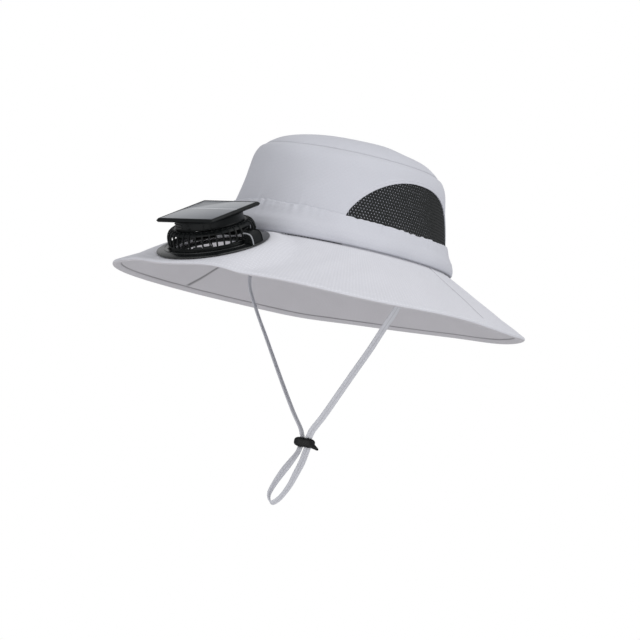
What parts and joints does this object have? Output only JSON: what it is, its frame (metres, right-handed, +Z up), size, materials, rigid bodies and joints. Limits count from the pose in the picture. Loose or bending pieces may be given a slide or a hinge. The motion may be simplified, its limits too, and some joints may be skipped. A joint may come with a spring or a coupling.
{
  "type": "solar fan hat",
  "caption": "Wide-brimmed cloth sun hat with mesh side vents, a solar-powered fan on the front of the brim and a ribbon chin strap with a cord lock",
  "frame": {"origin": "the middle of the head opening, level with the foot of the crown where it meets the brim", "axes": "+Z up through the crown, -Y to the front where the fan is, +X to the wearer's left"},
  "size_m": [0.302, 0.371, 0.2978],
  "materials": {
    "hat_cloth": "plain woven cloth, matt",
    "vent_net": "open knitted net, matt",
    "black_plastic": "moulded, low gloss",
    "rotor_plastic": "moulded, matt",
    "solar_glass": "smooth coated face",
    "strap_ribbon": "woven ribbon, matt",
    "lock_plastic": "moulded, matt"
  },
  "bodies": {
    "hat": {"crown_side": "hat_cloth", "crown_top": "hat_cloth", "hat_band": "hat_cloth", "brim": "hat_cloth", "vent_mesh_left": "vent_net", "vent_mesh_right": "vent_net", "fan_flange": "black_plastic", "fan_cage": "black_plastic", "fan_port_housing": "black_plastic", "fan_neck": "black_plastic", "fan_motor": "black_plastic", "fan_guard": "black_plastic", "solar_panel_frame": "black_plastic", "solar_cell": "solar_glass", "strap_left": "strap_ribbon", "strap_right": "strap_ribbon", "strap_loop": "strap_ribbon", "cord_lock": "lock_plastic"},
    "rotor": {"fan_rotor": "rotor_plastic"}
  },
  "joints": [
    {"name": "fan_spin", "type": "hinge", "parent": "hat", "child": "rotor", "pos_m": [0, -0.14769, -0.02043], "axis": [0, -0.4401, 0.898], "continuous": true}
  ]
}
